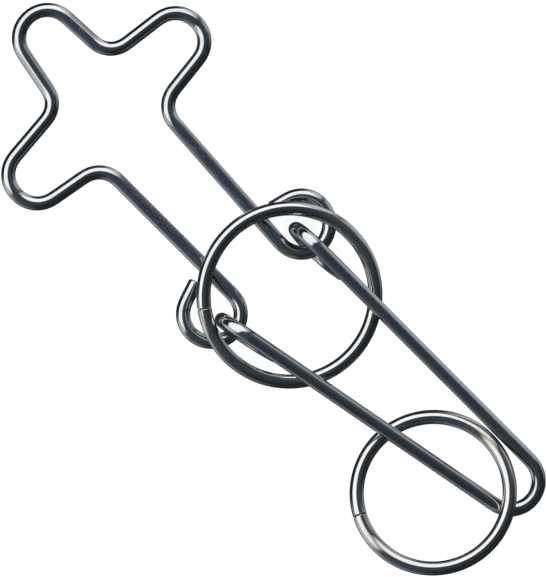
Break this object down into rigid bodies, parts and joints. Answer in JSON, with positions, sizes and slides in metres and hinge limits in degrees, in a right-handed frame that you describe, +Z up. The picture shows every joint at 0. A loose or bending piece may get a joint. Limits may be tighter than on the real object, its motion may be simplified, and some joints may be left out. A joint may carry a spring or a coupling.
{
  "type": "wire disentanglement puzzle",
  "caption": "Bent-wire disentanglement puzzle: a cross-headed wire frame linked eye to eye with a hairpin, with loose rings trapped round the linkage and on the hairpin.",
  "frame": {"origin": "centre of the puzzle's plan outline, on the surface that it lies on", "axes": "+X along the puzzle from the cross head to the hairpin's bend, +Y across it, +Z up from the surface"},
  "size_m": [0.124, 0.0459, 0.0124],
  "materials": {
    "bright_wire": "bright nickel-plated steel wire, lightly handled",
    "ring_wire": "bright nickel-plated steel wire, polished"
  },
  "bodies": {
    "cross_frame": {"cross_frame": "bright_wire"},
    "hairpin": {"hairpin": "bright_wire"},
    "large_ring": {"large_ring": "ring_wire"},
    "small_ring": {"small_ring": "ring_wire"}
  },
  "joints": [
    {"name": "hairpin_fold", "type": "hinge", "parent": "cross_frame", "child": "hairpin", "pos_m": [0.00418, 0.00009, 0.0062], "axis": [0.1374, -0.9905, 0], "range_deg": [0, 110]},
    {"name": "large_ring_spin", "type": "hinge", "parent": "cross_frame", "child": "large_ring", "pos_m": [0.00558, 0.0008, 0.00745], "axis": [0.1184, 0, 0.993], "continuous": true},
    {"name": "small_ring_slide", "type": "slide", "parent": "hairpin", "child": "small_ring", "axis": [-0.9628, -0.226, 0.1478], "range_m": [0, 0.011]}
  ]
}
